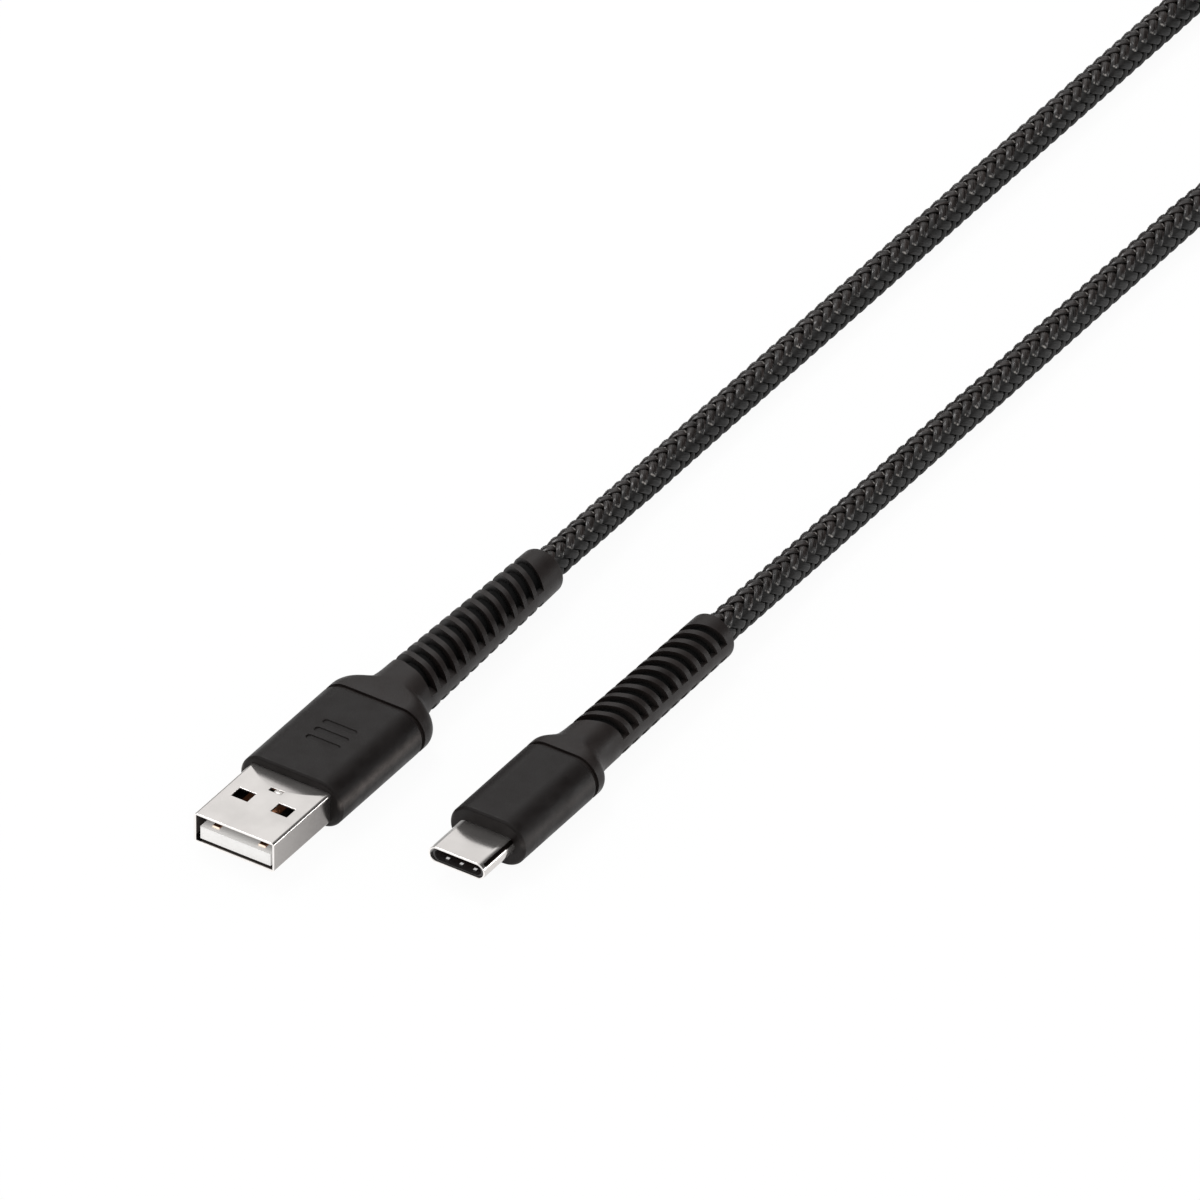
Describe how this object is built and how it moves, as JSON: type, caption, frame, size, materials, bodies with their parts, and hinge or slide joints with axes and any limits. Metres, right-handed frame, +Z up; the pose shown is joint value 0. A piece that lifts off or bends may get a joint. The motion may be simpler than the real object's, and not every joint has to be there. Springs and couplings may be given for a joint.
{
  "type": "usb charging cable",
  "caption": "Braided charging cable: a USB-A plug and a USB-C plug with long slotted strain reliefs lie side by side on a table, the rest of the cord in a flat coil behind.",
  "frame": {"origin": "on the table, under the middle of the box round the two plugs and their strain reliefs", "axes": "+Y from the plugs' tips towards the cord, +X from the USB-A plug to the USB-C plug, +Z up from the table"},
  "size_m": [0.0624, 0.2889, 0.0094],
  "materials": {
    "plug_shell": "nickel plated, smooth",
    "head_plastic": "fine satin",
    "relief_elastomer": "satin elastomer",
    "white_insulator": "satin",
    "black_insulator": "satin",
    "gold_contact": "gold plated",
    "spring_steel": "bright sheet",
    "tinned_steel": "tinned sheet",
    "inner_mould_plastic": "as moulded",
    "circuit_board": "solder mask",
    "resistor_body": "chip resistor",
    "red_wire_insulation": "smooth",
    "white_wire_insulation": "smooth",
    "green_wire_insulation": "smooth",
    "black_wire_insulation": "smooth",
    "braided_cord": "woven nylon over a jacket"
  },
  "bodies": {
    "root": {"usb_a_shell": "plug_shell", "usb_a_tongue": "white_insulator", "usb_a_power_contact": "gold_contact", "usb_a_data_minus_contact": "gold_contact", "usb_a_data_plus_contact": "gold_contact", "usb_a_ground_contact": "gold_contact", "usb_a_red_wire": "red_wire_insulation", "usb_a_white_wire": "white_wire_insulation", "usb_a_green_wire": "green_wire_insulation", "usb_a_black_wire": "black_wire_insulation", "usb_a_cable_clamp": "tinned_steel", "usb_a_inner_mould": "inner_mould_plastic", "usb_a_head": "head_plastic", "usb_a_strain_relief": "relief_elastomer", "usb_c_shell": "plug_shell", "usb_c_insulator": "black_insulator", "usb_c_upper_contacts": "gold_contact", "usb_c_lower_contacts": "gold_contact", "usb_c_latch": "spring_steel", "usb_c_upper_ground_spring": "spring_steel", "usb_c_lower_ground_spring": "spring_steel", "usb_c_paddle_board": "circuit_board", "usb_c_resistor": "resistor_body", "usb_c_shield_can": "tinned_steel", "usb_c_red_wire": "red_wire_insulation", "usb_c_white_wire": "white_wire_insulation", "usb_c_green_wire": "green_wire_insulation", "usb_c_black_wire": "black_wire_insulation", "usb_c_cable_clamp": "tinned_steel", "usb_c_inner_mould": "inner_mould_plastic", "usb_c_head": "head_plastic", "usb_c_strain_relief": "relief_elastomer", "cord_end_a": "braided_cord", "cord_end_c": "braided_cord", "cord_lead_a": "braided_cord", "cord_coil": "braided_cord", "cord_lead_c": "braided_cord"}
  },
  "joints": []
}
